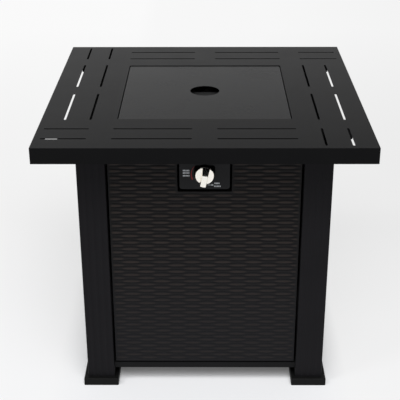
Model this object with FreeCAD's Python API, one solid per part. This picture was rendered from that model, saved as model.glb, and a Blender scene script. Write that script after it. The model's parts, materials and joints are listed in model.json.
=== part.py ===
import FreeCAD, Part
import math
import os
import random

# Gas fire pit table, in millimetres. Origin: centre of the footprint, on the floor.
# +Z is up and the control panel looks towards -Y.

# Tabletop
table_width = 711.0
table_height = 635.0
top_sheet = 1.2
fascia_height = 35.0
fascia_return = 10.0
top_corner_radius = 2.0
top_edge_radius = 1.0

# Slots in the tabletop: two rows on each side, one short and two long slots in a row
slot_width = 5.0
slot_rows = (248.0, 304.0)
long_slot_length = 168.0
long_slot_centre = 110.0
short_slot_length = 96.0
short_slot_centre = 293.0

# Lid, and the ledge that it rests on
lid_width = 378.0
lid_sheet = 1.5
lid_height = 15.0
lid_drop = 1.2
lid_corner_radius = 4.0
lid_edge_radius = 1.2
lid_gap = 1.3
lid_seat_gap = 0.2
lid_hole_radius = 34.2
lid_handle_width = 25.0
lid_handle_inside = 84.0
lid_handle_foot = 12.0
lid_handle_drop = 6.2
lid_handle_bend = 0.8
ledge_width = 16.0

# Two square tubes under the tabletop
bar_width = 25.0
bar_wall = 1.5
bar_length = 630.0
bar_setback = 13.0
bar_access_radius = 8.0

# Two narrower tubes along the sides, welded under the tabletop
rib_width = 20.0
rib_inset = 26.5
rib_end_gap = 0.5

# Studs under the tabletop, which pass through the tubes
stud_radius = 3.0
stud_spacing = 160.0
stud_tail = 9.0
nut_flats = 10.0
nut_height = 5.0

# Fluted posts
body_width = 550.0
post_width = 62.0
post_wall = 1.5
post_corner_radius = 2.5
post_cap_thickness = 3.0
flute_count = 4
flute_land = 3.0
flute_depth = 1.4
post_bolt_radius = 3.0
post_bolt_length = 14.0
post_bolt_flats = 10.0
post_bolt_head = 4.0

# Feet
foot_width = 81.0
foot_height = 18.0
foot_edge_radius = 2.5
foot_plug_height = 24.0
foot_plug_wall = 2.5
foot_plug_gap = 0.3

# Upper rails, angles between the posts
rail_width = 25.0
rail_ledge = 15.0
rail_wall = 1.5

# Panels: folded sheets between the posts
panel_setback = 9.0
panel_sheet = 1.0
panel_depth = 10.0
panel_flange = 12.0
panel_side_gap = 4.0
panel_bottom_gap = 4.0
panel_top_gap = 3.0
panel_screw_spacing = 300.0

# Base tray
tray_lip_bottom = 38.0
tray_lip_height = 14.0
tray_sheet = 1.5
tray_tab_width = 40.0
tray_tab_height = 20.0
tray_hole_step = 1.0

# Ring that holds the foot of the gas tank, and its wing screw
tank_ring_radius = 106.0
tank_ring_wall = 1.5
tank_ring_height = 24.5
tank_ring_flange = 12.0
tank_boss_radius = 9.0
tank_boss_length = 15.0
tank_screw_radius = 4.0
tank_screw_length = 36.0
tank_screw_start = 0.5
wing_width = 34.0
wing_height = 14.0
wing_corner_radius = 4.5
wing_thickness = 3.0
wing_hub_radius = 6.5

# Bent tubes and leads: the share of a run that a bend may take
bend_share = 0.45

# Screws and fits
screw_radius = 2.0
screw_length = 6.0
screw_head_radius = 4.0
screw_head_height = 1.6
hole_clearance = 0.1
turning_clearance = 0.05

# Control panel in a notch of the front panel
control_width = 108.0
control_height = 90.0
control_proud = 10.0
control_sheet = 1.2
control_flange = 10.0
control_corner_radius = 6.5
control_side_gap = 4.5
control_low_gap = 10.5

# Knob and bezel
knob_drop = 55.0
bezel_width = 44.0
bezel_thickness = 2.0
bezel_rise = 20.0
bezel_corner_radius = 5.0
knob_radius = 20.2
knob_disc = 4.0
knob_edge_radius = 2.4
knob_push = 3.5
knob_push_clearance = 1.0
knob_bar_width = 12.0
knob_bar_base = 16.6
knob_bar_edge_radius = 0.8
knob_bar_height = 14.0
knob_bar_flat_end = 5.5
knob_bar_tip = 1.0
knob_rest_turn = 11.0
knob_hub_radius = 7.0
knob_hub_length = 3.0
knob_bore_depth = 10.0
shaft_hole_radius = 9.5

# Valve behind the control panel
stem_radius = 4.0
stem_flat = 2.6
stem_tail = 28.5
stem_shoulder_radius = 5.5
stem_shoulder = 1.0
valve_flange_width = 46.0
valve_flange_height = 26.0
valve_flange = 4.8
valve_width = 30.0
valve_depth = 40.0
valve_edge_radius = 3.0
valve_recess_radius = 9.0
valve_recess_depth = 8.0
valve_screw_spacing = 32.0
collar_radius = 8.5
collar_thickness = 1.5
collar_inset = 0.5
spring_radius = 6.3
spring_wire = 0.45
spring_turns = 4.0
valve_boss_radius = 8.0
valve_boss_length = 8.0
valve_bore_radius = 4.5
inlet_flats = 17.0
inlet_hex_length = 9.0
inlet_tail_radius = 8.0
inlet_tail_length = 16.0
inlet_bore_radius = 4.0
inlet_setback = 30.0

# Igniter module beside the valve
igniter_width = 18.0
igniter_depth = 28.0
igniter_height = 24.0
igniter_setback = 12.0
igniter_edge_radius = 2.0

# Fire pan under the ledge
pan_setback = 1.0
pan_sheet = 1.0
pan_depth = 42.0
pan_flange = 12.5
pan_corner_radius = 14.0
pan_screw_inset = 6.5
pan_screw_spacing = 220.0
pan_drain_radius = 3.0
pan_drain_inset = 18.0

# Burner ring and its feed
burner_radius = 80.0
burner_tube_radius = 9.5
burner_wall = 1.2
burner_lift = 6.0
burner_cross_radius = 8.0
burner_hub_radius = 18.0
burner_neck_radius = 11.0
burner_neck_length = 18.0
burner_bore_radius = 8.0
burner_ports = 36
burner_port_radius = 1.1
jam_nut_flats = 34.0
jam_nut_height = 6.0
elbow_radius = 12.5
elbow_drop = 25.0
elbow_reach = 32.0
mixer_radius = 10.5
mixer_bore_radius = 8.5
mixer_length = 48.0
mixer_window_width = 8.0
mixer_window_length = 20.0
mixer_window_setback = 6.0
orifice_flats = 14.0
orifice_length = 18.0
orifice_nose_radius = 4.0
orifice_nose_length = 8.0
pipe_radius = 4.0
pipe_nut_flats = 12.0
pipe_nut_length = 12.0

# Pilot bracket with the spark electrode and the thermocouple
pilot_gap = 20.5
pilot_spacing = 22.0
pilot_plate_length = 46.0
pilot_plate_width = 20.0
pilot_plate = 1.5
pilot_slot_length = 36.0
pilot_slot_width = 14.0
ceramic_radius = 3.5
ceramic_collar_radius = 5.0
ceramic_collar_height = 4.0
electrode_tail = 10.6
electrode_height = 19.4
electrode_wire_radius = 1.0
electrode_wire_length = 8.0
thermocouple_radius = 3.0
thermocouple_height = 25.4
lead_radius = 1.25
capillary_radius = 1.0
lead_drop = 28.0
lead_bow = 9.0

# Heat shield hung under the fire pan
shield_side_inset = 13.0
shield_end_inset = 3.0
shield_drop = 52.0
shield_sheet = 1.0
shield_flange = 12.0

# Lava rocks: each ring of a rock is a share of its height and of its radius
rock_seed = 11
rock_sides = 7
rock_rings = ((0.0, 0.72), (0.38, 1.0), (0.78, 0.84), (1.0, 0.45))
rock_least_side = 0.84
rock_least_corner = 0.94
rock_ring_shift = 0.07
rock_radius = 19.5
rock_height = 34.0
rock_seat_gap = 0.2
rock_pitch = 42.0
rock_ring_gap = 4.0
rock_low_height = 13.0
crown_rocks = 10
crown_phase = 0.25
small_rock_radius = 11.5
centre_rock_radius = 27.0
inner_rock_radius = 16.5
inner_rock_x = 31.0
inner_rock_y = 33.0
rock_headroom = 3.0

# Door at the back
door_gap = 0.4
door_rail_setback = 4.5
door_clear = 5.0
door_pin_inset = 6.0
door_pin_setback = 5.0
door_pin_radius = 2.5
door_pin_head_radius = 3.4
door_pin_head = 2.0
door_pin_top = 7.0
door_pin_bottom = 7.5
door_spacer_radius = 6.0
door_spacer_gap = 0.2
door_bracket = 2.0
door_bracket_width = 24.0
door_bracket_gap = 1.5
door_bracket_reach = 10.0
magnet_width = 18.0
magnet_height = 30.0
magnet_depth = 18.0
magnet_pole_height = 10.0
magnet_gap = 0.3
pull_inset = 24.0
pull_centre = 330.0
pull_length = 96.0
pull_projection = 24.0
pull_radius = 4.0
pull_bend = 12.0
pull_screw_depth = 9.0

# Heights and places that follow
top_under = table_height - top_sheet
fascia_bottom = table_height - fascia_height
post_top = top_under - bar_width
post_centre = (body_width - post_width) / 2
post_inner = post_centre - post_width / 2
flute_pitch = post_width / flute_count
flute_width = flute_pitch - flute_land
bar_offset = post_centre - bar_setback
rib_offset = table_width / 2 - rib_inset
rib_length = 2 * (bar_offset - bar_width / 2 - rib_end_gap)
lid_top = table_height - lid_drop
lid_bottom = lid_top - lid_height
ledge_top = lid_bottom - lid_seat_gap
ledge_bottom = ledge_top - top_sheet
opening_width = lid_width + 2 * lid_gap
ledge_opening = opening_width - 2 * ledge_width
pan_width = ledge_opening - 2 * pan_setback
pan_screw_offset = pan_width / 2 + pan_screw_inset
pan_drain_offset = pan_width / 2 - pan_drain_inset
pan_floor = ledge_bottom - pan_depth
pan_under = pan_floor - pan_sheet
tray_top = tray_lip_bottom + tray_lip_height
tray_under = tray_top - tray_sheet
panel_bottom = tray_top + panel_bottom_gap
panel_top = fascia_bottom - panel_top_gap
panel_half = post_inner - panel_side_gap
panel_face = body_width / 2 - panel_setback
flange_plane = panel_face - panel_depth
back_rail_plane = flange_plane - door_rail_setback
rail_bottom = post_top - rail_width
top_screw_height = panel_top - panel_flange / 2
low_screw_height = panel_bottom + panel_flange / 2
control_face = panel_face + control_proud
control_bottom = panel_top - control_height
knob_height = panel_top - knob_drop
control_back = control_face - control_sheet
bezel_face = control_face + bezel_thickness
knob_push_gap = knob_push + knob_push_clearance
disc_back = bezel_face + knob_push_gap
disc_face = disc_back + knob_disc
knob_front = disc_face + knob_bar_height
hub_back = disc_back - knob_hub_length
collar_front = control_back - collar_inset
valve_back = control_back - valve_flange - valve_depth
outlet_back = valve_back - valve_boss_length
igniter_back = control_back - igniter_setback - igniter_depth
burner_height = pan_floor + burner_lift + burner_tube_radius
burner_top = burner_height + burner_tube_radius
hub_top = burner_height + burner_cross_radius
pilot_offset = burner_radius + burner_tube_radius + pilot_gap
electrode_low = pan_floor - electrode_tail
electrode_top = pan_floor + electrode_height
thermocouple_top = pan_floor + thermocouple_height
shield_width = pan_width - 2 * shield_side_inset
shield_length = pan_width - 2 * shield_end_inset
neck_end = pan_under - burner_neck_length
elbow_height = neck_end - elbow_drop / 2
mixer_end = elbow_reach + mixer_length
orifice_end = mixer_end + orifice_length


def vec(x, y, z):
    return FreeCAD.Vector(x, y, z)


ORIGIN = vec(0, 0, 0)
X_AXIS = vec(1, 0, 0)
Y_AXIS = vec(0, 1, 0)
Z_AXIS = vec(0, 0, 1)


# Shapes that are used again and again

def box(x_span, y_span, z_span):
    corner = vec(x_span[0], y_span[0], z_span[0])
    return Part.makeBox(x_span[1] - x_span[0], y_span[1] - y_span[0], z_span[1] - z_span[0], corner)


def centred(width):
    return (-width / 2, width / 2)


def rod(radius, start, end):
    return Part.makeCylinder(radius, (end - start).Length, start, end - start)


def fuse(shapes):
    return shapes[0].fuse(shapes[1:]).removeSplitter()


def fillet_along(shape, radius, axis, chosen=None):
    """Rounds the straight edges that run along an axis, or those of them whose middle is chosen."""
    edges = []
    for edge in shape.Edges:
        if edge.Curve.TypeId != "Part::GeomLine":
            continue
        direction = edge.Vertexes[-1].Point - edge.Vertexes[0].Point
        if direction.cross(axis).Length > direction.Length / 100:
            continue
        if chosen is None or chosen(edge.CenterOfMass):
            edges.append(edge)
    return shape.makeFillet(radius, edges)


def rounded_slab(width, length, z_span, radius):
    return fillet_along(box(centred(width), centred(length), z_span), radius, Z_AXIS)


def hexagon(centre, axis, flats, height):
    """A hexagonal prism that starts at a point and runs along an axis."""
    radius = flats / math.sqrt(3)
    corners = []
    for step in range(7):
        angle = math.pi / 3 * step
        corners.append(vec(radius * math.cos(angle), radius * math.sin(angle), 0))
    prism = Part.Face(Part.makePolygon(corners)).extrude(vec(0, 0, height))
    prism.Placement = FreeCAD.Placement(centre, FreeCAD.Rotation(Z_AXIS, axis))
    return prism


def screw(seat, axis, head_radius, head_height, shank_radius, shank_length):
    """A screw whose head lies on a seat, with its shank along the axis."""
    unit = vec(axis.x, axis.y, axis.z).normalize()
    head = rod(head_radius, seat - unit * head_height, seat)
    return fuse([head, rod(shank_radius, seat, seat + unit * shank_length)])


def small_screw(seat, axis, length):
    return screw(seat, axis, screw_head_radius, screw_head_height, screw_radius, length)


def quarter(shape, turns):
    """A copy turned about the table's centre line by whole quarters."""
    turned = shape.copy()
    turned.rotate(ORIGIN, Z_AXIS, 90 * turns)
    return turned


def bent_tube(points, radius, bend=None):
    """A round bar along straight runs and tangent arcs, each as large as its runs allow, or as told."""
    edges = []
    start = points[0]
    length = 0
    for before, corner, after in zip(points, points[1:], points[2:]):
        come = (corner - before).normalize()
        go = (after - corner).normalize()
        turn = come.getAngle(go)
        reach = bend_share * min((corner - before).Length, (after - corner).Length)
        if bend is not None:
            reach = bend * math.tan(turn / 2)
        arc_radius = reach / math.tan(turn / 2)
        first = corner - come * reach
        last = corner + go * reach
        inward = (go - come).normalize()
        middle = corner + inward * (arc_radius / math.cos(turn / 2) - arc_radius)
        edges.append(Part.LineSegment(start, first).toShape())
        edges.append(Part.Arc(first, middle, last).toShape())
        length += (first - start).Length + arc_radius * turn
        start = last
        if bend is None:
            print("bend radius", round(arc_radius, 1), "in tube radii", round(arc_radius / radius, 1))
    edges.append(Part.LineSegment(start, points[-1]).toShape())
    length += (points[-1] - start).Length
    path = Part.Wire(edges)
    end = Part.Wire(Part.makeCircle(radius, points[0], points[1] - points[0]))
    tube = path.makePipeShell([end], True, False)
    print("tube volume over section times length", round(tube.Volume / (math.pi * radius ** 2 * length), 4))
    return tube


def folded_panel(outline, face_plane, sheet, depth, flange):
    """A sheet folded back along its outline, with an inward flange; it faces -Y."""
    corners = [vec(x, -face_plane, z) for x, z in outline + outline[:1]]
    face = Part.Face(Part.makePolygon(corners))
    inner = face.makeOffset2D(-sheet, 2)
    mouth = face.makeOffset2D(-flange, 2)
    hollow = inner.extrude(vec(0, depth - 2 * sheet, 0))
    hollow.translate(vec(0, sheet, 0))
    opening = mouth.extrude(vec(0, depth, 0))
    opening.translate(vec(0, sheet, 0))
    return face.extrude(vec(0, depth, 0)).cut([hollow, opening])


# Tabletop

def slot_cutter(along, across, length, turns):
    straight = (length - slot_width) / 2
    height = (ledge_top, table_height + top_sheet)
    across_span = (across - slot_width / 2, across + slot_width / 2)
    cutter = box((along - straight, along + straight), across_span, height)
    ends = []
    for end in (along - straight, along + straight):
        ends.append(rod(slot_width / 2, vec(end, across, height[0]), vec(end, across, height[1])))
    return quarter(fuse([cutter] + ends), turns)


def slot_cutters():
    cutters = []
    for turns in range(4):
        for row in slot_rows:
            cutters.append(slot_cutter(-short_slot_centre, -row, short_slot_length, turns))
            cutters.append(slot_cutter(-long_slot_centre, -row, long_slot_length, turns))
            cutters.append(slot_cutter(long_slot_centre, -row, long_slot_length, turns))
    return cutters


def stud_places():
    return [(x, side * bar_offset) for side in (-1, 1) for x in (-stud_spacing, 0, stud_spacing)]


def make_tabletop():
    outer = rounded_slab(table_width, table_width, (fascia_bottom, table_height), top_corner_radius)
    rim = [edge for edge in outer.Edges if abs(edge.BoundBox.ZMin - table_height) < top_edge_radius / 100]
    outer = outer.makeFillet(top_edge_radius, rim)
    inside = table_width - 2 * top_sheet
    hollow = box(centred(inside), centred(inside), (fascia_bottom + top_sheet, top_under))
    mouth_width = table_width - 2 * fascia_return
    mouth = box(centred(mouth_width), centred(mouth_width), (fascia_bottom - top_sheet, top_under))
    well_radius = lid_corner_radius + lid_gap
    well_span = (ledge_bottom, table_height)
    well = rounded_slab(opening_width, opening_width, well_span, well_radius)
    well_wall = rounded_slab(opening_width + 2 * top_sheet, opening_width + 2 * top_sheet,
                             (ledge_bottom, top_under), well_radius + top_sheet)
    ledge = rounded_slab(opening_width, opening_width, (ledge_bottom, ledge_top), well_radius)
    ledge = ledge.cut(box(centred(ledge_opening), centred(ledge_opening), well_span))
    shell = outer.cut([hollow, mouth]).fuse(well_wall).cut(well)
    shell = fuse([shell, ledge])
    studs = []
    for x, y in stud_places():
        studs.append(rod(stud_radius, vec(x, y, post_top - stud_tail), vec(x, y, top_under)))
    holes = [rod(screw_radius + hole_clearance, vec(x, y, pan_under), vec(x, y, lid_bottom))
             for x, y in pan_screw_places()]
    return fuse([shell] + studs).cut(slot_cutters() + holes)


def make_lid():
    lid = rounded_slab(lid_width, lid_width, (lid_bottom, lid_top), lid_corner_radius)
    rim = [edge for edge in lid.Edges if abs(edge.BoundBox.ZMin - lid_top) < lid_edge_radius / 100]
    lid = lid.makeFillet(lid_edge_radius, rim)
    inside = lid_width - 2 * lid_sheet
    hollow = rounded_slab(inside, inside, (lid_bottom - lid_sheet, lid_top - lid_sheet),
                          lid_corner_radius - lid_sheet)
    hole = rod(lid_hole_radius, vec(0, 0, lid_bottom), vec(0, 0, table_height))
    return fuse([lid.cut([hollow, hole]), make_lid_handle()])


def make_lid_handle():
    """A strip under the finger hole, bent down from two feet that are welded to the underside of the lid."""
    under = lid_top - lid_sheet
    low = under - lid_handle_drop - lid_sheet
    near = lid_handle_inside / 2
    far = near + lid_sheet + lid_handle_foot
    half = [(far, under), (near, under), (near, low + lid_sheet)]
    other = [(near + lid_sheet, low), (near + lid_sheet, under - lid_sheet), (far, under - lid_sheet)]
    right = half + [(-x, z) for x, z in half[::-1]]
    left = [(-x, z) for x, z in other[::-1]] + other
    corners = [vec(x, -lid_handle_width / 2, z) for x, z in right + left + right[:1]]
    strip = Part.Face(Part.makePolygon(corners)).extrude(vec(0, lid_handle_width, 0))
    bends = [edge for edge in strip.Edges if edge.Length > 0.99 * lid_handle_width
             and abs(edge.CenterOfMass.y) < 0.01 and abs(edge.CenterOfMass.x) < far - 0.01
             and edge.CenterOfMass.z < under - 0.01]
    return strip.makeFillet(lid_handle_bend, bends)


# Frame

def make_bar(side):
    y = side * bar_offset
    half = bar_width / 2
    outer = box(centred(bar_length), (y - half, y + half), (post_top, top_under))
    inner = box(centred(bar_length + bar_wall), (y - half + bar_wall, y + half - bar_wall),
                (post_top + bar_wall, top_under - bar_wall))
    cutters = [inner]
    for stud_x, stud_y in stud_places():
        if stud_y == y:
            low = vec(stud_x, y, rail_bottom)
            cutters.append(rod(stud_radius + hole_clearance, low, vec(stud_x, y, table_height)))
    for x in (-post_centre, post_centre):
        cutters.append(rod(post_bolt_radius + hole_clearance, vec(x, y, rail_bottom), vec(x, y, top_under)))
        cutters.append(rod(bar_access_radius, vec(x, y, top_under - 2 * bar_wall), vec(x, y, table_height)))
    return outer.cut(cutters)


def make_rib(side):
    x = side * rib_offset
    half = rib_width / 2
    outer = box((x - half, x + half), centred(rib_length), (post_top, top_under))
    inner = box((x - half + bar_wall, x + half - bar_wall), centred(rib_length + bar_wall),
                (post_top + bar_wall, top_under - bar_wall))
    return outer.cut(inner)


def make_post():
    """The front left post, with flutes in its two outward faces."""
    span = (-post_centre - post_width / 2, -post_centre + post_width / 2)
    height = (foot_height, post_top)
    post = fillet_along(box(span, span, height), post_corner_radius, Z_AXIS)
    flute_radius = (flute_width ** 2 / 4 + flute_depth ** 2) / (2 * flute_depth)
    away = -body_width / 2 + flute_depth - flute_radius
    cutters = []
    for step in range(flute_count):
        along = -post_centre + (step - (flute_count - 1) / 2) * flute_pitch
        for x, y in ((along, away), (away, along)):
            cutters.append(rod(flute_radius, vec(x, y, 0), vec(x, y, table_height)))
    inner = (span[0] + post_wall + flute_depth, span[1] - post_wall)
    cutters.append(box(inner, inner, (0, post_top - post_cap_thickness)))
    hole = vec(-post_centre, -bar_offset, post_top - 2 * post_cap_thickness)
    cutters.append(rod(post_bolt_radius + hole_clearance, hole, hole + Z_AXIS * bar_width))
    return post.cut(cutters)


def make_posts():
    front_left = make_post()
    mirrored = front_left.mirror(ORIGIN, Y_AXIS)
    return {"post_front_left": front_left, "post_front_right": front_left.mirror(ORIGIN, X_AXIS),
            "post_back_left": mirrored, "post_back_right": mirrored.mirror(ORIGIN, X_AXIS)}


def make_foot():
    """The front left foot: a square block with a hollow plug that fills the end of the post."""
    span = (-post_centre - foot_width / 2, -post_centre + foot_width / 2)
    block = fillet_along(box(span, span, (0, foot_height)), foot_edge_radius, Z_AXIS)
    rim = [edge for edge in block.Edges if abs(edge.BoundBox.ZMin - foot_height) < foot_edge_radius / 100]
    block = block.makeFillet(foot_edge_radius, rim)
    low = -post_centre - post_width / 2 + post_wall + flute_depth + foot_plug_gap
    high = -post_centre + post_width / 2 - post_wall - foot_plug_gap
    plug_top = foot_height + foot_plug_height
    plug = box((low, high), (low, high), (foot_height, plug_top))
    inner = (low + foot_plug_wall, high - foot_plug_wall)
    return fuse([block, plug]).cut(box(inner, inner, (foot_height, plug_top)))


def make_feet():
    foot = make_foot()
    names = ("foot_front_left", "foot_front_right", "foot_back_right", "foot_back_left")
    return {name: quarter(foot, turns) for turns, name in enumerate(names)}


def panel_screw_places():
    """Each screw is a point on the flange plane of the front panel."""
    half = panel_screw_spacing / 2
    return [vec(x, -flange_plane, z) for x in (-half, half) for z in (low_screw_height, top_screw_height)]


def control_screw_places():
    x = (control_width - control_flange) / 2
    return [vec(-x, -flange_plane, top_screw_height), vec(x, -flange_plane, top_screw_height)]


def make_rail(screw_places, plane):
    """The front rail: an angle between the posts, with its flat leg on top."""
    upright = box(centred(2 * post_inner), (-plane, -plane + rail_wall), (rail_bottom, post_top))
    flat = box(centred(2 * post_inner), (-plane, -plane + rail_ledge), (post_top - rail_wall, post_top))
    return fuse([upright, flat]).cut(screw_holes(screw_places))


def screw_holes(places):
    reach = Y_AXIS * (2 * rail_wall)
    return [rod(screw_radius + hole_clearance, place - reach, place + reach) for place in places]


def panel_outline(half_width):
    low = [(-half_width, panel_bottom), (half_width, panel_bottom)]
    return low + [(half_width, panel_top), (-half_width, panel_top)]


def make_front_panel():
    half = control_width / 2 + control_side_gap
    low = control_bottom - control_low_gap
    outline = [(-panel_half, panel_bottom), (panel_half, panel_bottom), (panel_half, panel_top),
               (half, panel_top), (half, low), (-half, low), (-half, panel_top), (-panel_half, panel_top)]
    panel = folded_panel(outline, panel_face, panel_sheet, panel_depth, panel_flange)
    return panel.cut(screw_holes(panel_screw_places()))


def make_plain_panel():
    panel = folded_panel(panel_outline(panel_half), panel_face, panel_sheet, panel_depth, panel_flange)
    return panel.cut(screw_holes(panel_screw_places()))


def make_base_tray():
    """A square tray with its corners cut out for the posts, a hole for the tank's foot and folded lips."""
    def cross(inset, z_span):
        arm = panel_face - inset
        waist = post_inner - inset
        return fuse([box((-arm, arm), (-waist, waist), z_span), box((-waist, waist), (-arm, arm), z_span)])

    tray = cross(0, (tray_lip_bottom, tray_top)).cut(cross(tray_sheet, (0, tray_under)))
    tabs = []
    for turns in (0, 1, 3):
        for x in centred(panel_screw_spacing):
            x_span = (x - tray_tab_width / 2, x + tray_tab_width / 2)
            y_span = (-flange_plane, -flange_plane + tray_sheet)
            tab = box(x_span, y_span, (tray_under, tray_top + tray_tab_height))
            tabs.append(quarter(tab.cut(screw_holes(panel_screw_places())), turns))
    pin = vec(door_axis_x(), door_axis_y(), 0)
    hole = rod(tank_ring_radius + tray_hole_step, ORIGIN, Z_AXIS * table_height)
    pin_hole = rod(door_pin_radius + turning_clearance, pin, pin + Z_AXIS * panel_bottom)
    return fuse([tray] + tabs).cut([hole, pin_hole])


# Tank ring and wing screw

def tank_screw_height():
    return tray_under - tank_ring_height / 2


def make_tank_ring():
    low = tray_under - tank_ring_height
    top = vec(0, 0, tray_under)
    collar = rod(tank_ring_radius + tank_ring_wall, vec(0, 0, low), top)
    flange = rod(tank_ring_radius + tank_ring_flange, top - Z_AXIS * tank_ring_wall, top)
    start = vec(0, tank_ring_radius, tank_screw_height())
    boss = rod(tank_boss_radius, start, start + Y_AXIS * tank_boss_length)
    bore = rod(tank_ring_radius, ORIGIN, Z_AXIS * table_height)
    thread = rod(tank_screw_radius + turning_clearance, start - Y_AXIS * tank_boss_radius,
                 start + Y_AXIS * (tank_boss_length + tank_boss_radius))
    return fuse([collar, flange, boss]).cut([bore, thread])


def make_tank_screw():
    tip = vec(0, tank_ring_radius + tank_screw_start, tank_screw_height())
    end = tip + Y_AXIS * tank_screw_length
    shank = rod(tank_screw_radius, tip, end)
    hub = rod(wing_hub_radius, end - Y_AXIS * wing_height / 2, end)
    wings = box(centred(wing_width), (end.y - wing_height / 2, end.y + wing_height / 2),
                (end.z - wing_thickness / 2, end.z + wing_thickness / 2))
    wings = fillet_along(wings, wing_corner_radius, Z_AXIS)
    return fuse([shank, hub, wings])


# Control panel, knob and valve

def valve_screw_places(y):
    return [vec(-valve_screw_spacing / 2, -y, knob_height), vec(valve_screw_spacing / 2, -y, knob_height)]


def knob_point(y):
    return vec(0, -y, knob_height)


def make_control_panel():
    half = control_width / 2
    depth = control_face - flange_plane
    outline = [(-half, control_bottom), (half, control_bottom), (half, panel_top), (-half, panel_top)]
    panel = folded_panel(outline, control_face, control_sheet, depth, control_flange)
    for inset in (control_sheet, 0):
        corners = [vec(side * (half - inset), 0, control_bottom + inset) for side in (-1, 1)]
        panel = fillet_along(panel, control_corner_radius - inset, Y_AXIS,
                             lambda middle: any((middle - corner).cross(Y_AXIS).Length < 0.01 for corner in corners))
    cutters = screw_holes(control_screw_places())
    cutters.append(rod(shaft_hole_radius, knob_point(bezel_face), knob_point(control_back - control_sheet)))
    for place in valve_screw_places(control_face):
        cutters.append(rod(screw_radius + hole_clearance, place - Y_AXIS, place + Y_AXIS * 2 * control_sheet))
    return panel.cut(cutters)


def make_bezel():
    """A plate that is square above the knob's axis and round below it."""
    half = bezel_width / 2
    upper = box((-half, half), (-bezel_face, -control_face), (knob_height, knob_height + bezel_rise))
    upper = fillet_along(upper, bezel_corner_radius, Y_AXIS, lambda middle: middle.z > knob_height + bezel_rise / 2)
    plate = fuse([upper, rod(half, knob_point(bezel_face), knob_point(control_face))])
    cutters = [rod(shaft_hole_radius, knob_point(bezel_face + bezel_thickness), knob_point(control_back))]
    for place in valve_screw_places(control_face):
        cutters.append(rod(screw_head_radius + hole_clearance, place - Y_AXIS * 2 * bezel_thickness, place))
    return plate.cut(cutters)


def d_section(radius, flat, front, back):
    """A round bar along Y with a flat on its upper side."""
    bar = rod(radius, knob_point(front), knob_point(back))
    return bar.cut(box(centred(4 * radius), (-front, -back), (knob_height + flat, knob_height + 2 * radius)))


def make_knob():
    disc = rod(knob_radius, knob_point(disc_back), knob_point(disc_face))
    rims = [edge for edge in disc.Edges if abs(edge.CenterOfMass.y + disc_face) < knob_edge_radius / 100]
    disc = disc.makeFillet(knob_edge_radius, rims)
    low, high = knob_height - knob_radius, knob_height + knob_radius
    bend = knob_height + knob_bar_flat_end
    side = [(low, disc_back), (low, knob_front), (bend, knob_front), (high, disc_face + knob_bar_tip),
            (high, disc_back)]
    corners = [vec(-knob_radius, -y, z) for z, y in side + side[:1]]
    bar = Part.Face(Part.makePolygon(corners)).extrude(vec(2 * knob_radius, 0, 0))
    half, base = knob_bar_width / 2, knob_bar_base / 2
    section = [(-half, knob_front), (half, knob_front), (base, disc_face), (base, disc_back),
               (-base, disc_back), (-base, disc_face)]
    corners = [vec(x, -y, low) for x, y in section + section[:1]]
    bar = bar.common(Part.Face(Part.makePolygon(corners)).extrude(vec(0, 0, high - low)))
    bar = bar.common(rod(knob_radius, knob_point(disc_back), knob_point(knob_front)))
    front_edges = [edge for edge in bar.Edges if abs(edge.CenterOfMass.y + knob_front) < knob_bar_edge_radius]
    bar = bar.makeFillet(knob_bar_edge_radius, front_edges)
    hub = rod(knob_hub_radius, knob_point(hub_back), knob_point(disc_face))
    knob = fuse([disc, bar, hub])
    bore = d_section(stem_radius + turning_clearance, stem_flat + turning_clearance,
                     hub_back + knob_bore_depth, hub_back - turning_clearance)
    knob.rotate(knob_point(0), Y_AXIS, knob_rest_turn)
    bore.rotate(knob_point(0), Y_AXIS, knob_rest_turn)
    return knob.cut(bore)


def make_stem():
    front = hub_back + knob_bore_depth - turning_clearance
    flat_part = d_section(stem_radius, stem_flat, front, hub_back)
    flat_part.rotate(knob_point(0), Y_AXIS, knob_rest_turn)
    body = rod(stem_radius, knob_point(hub_back), knob_point(collar_front - stem_tail))
    shoulder = rod(stem_shoulder_radius, knob_point(collar_front + stem_shoulder), knob_point(collar_front))
    return fuse([flat_part, body, shoulder])


def make_collar():
    ring = rod(collar_radius, knob_point(collar_front), knob_point(collar_front - collar_thickness))
    return ring.cut(rod(stem_radius + turning_clearance, knob_point(control_face), knob_point(valve_back)))


def make_spring():
    """The return spring, an open helix between the collar and the floor of the valve's recess."""
    low = control_back - valve_recess_depth + spring_wire
    high = collar_front - collar_thickness - spring_wire
    height = high - low
    helix = Part.makeHelix(height / spring_turns, height, spring_radius)
    section = Part.Wire(Part.makeCircle(spring_wire, vec(spring_radius, 0, 0), Y_AXIS))
    spring = Part.Wire(helix.Edges).makePipeShell([section], True, True)
    spring.Placement = FreeCAD.Placement(knob_point(low), FreeCAD.Rotation(Z_AXIS, vec(0, -1, 0)))
    return spring


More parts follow.
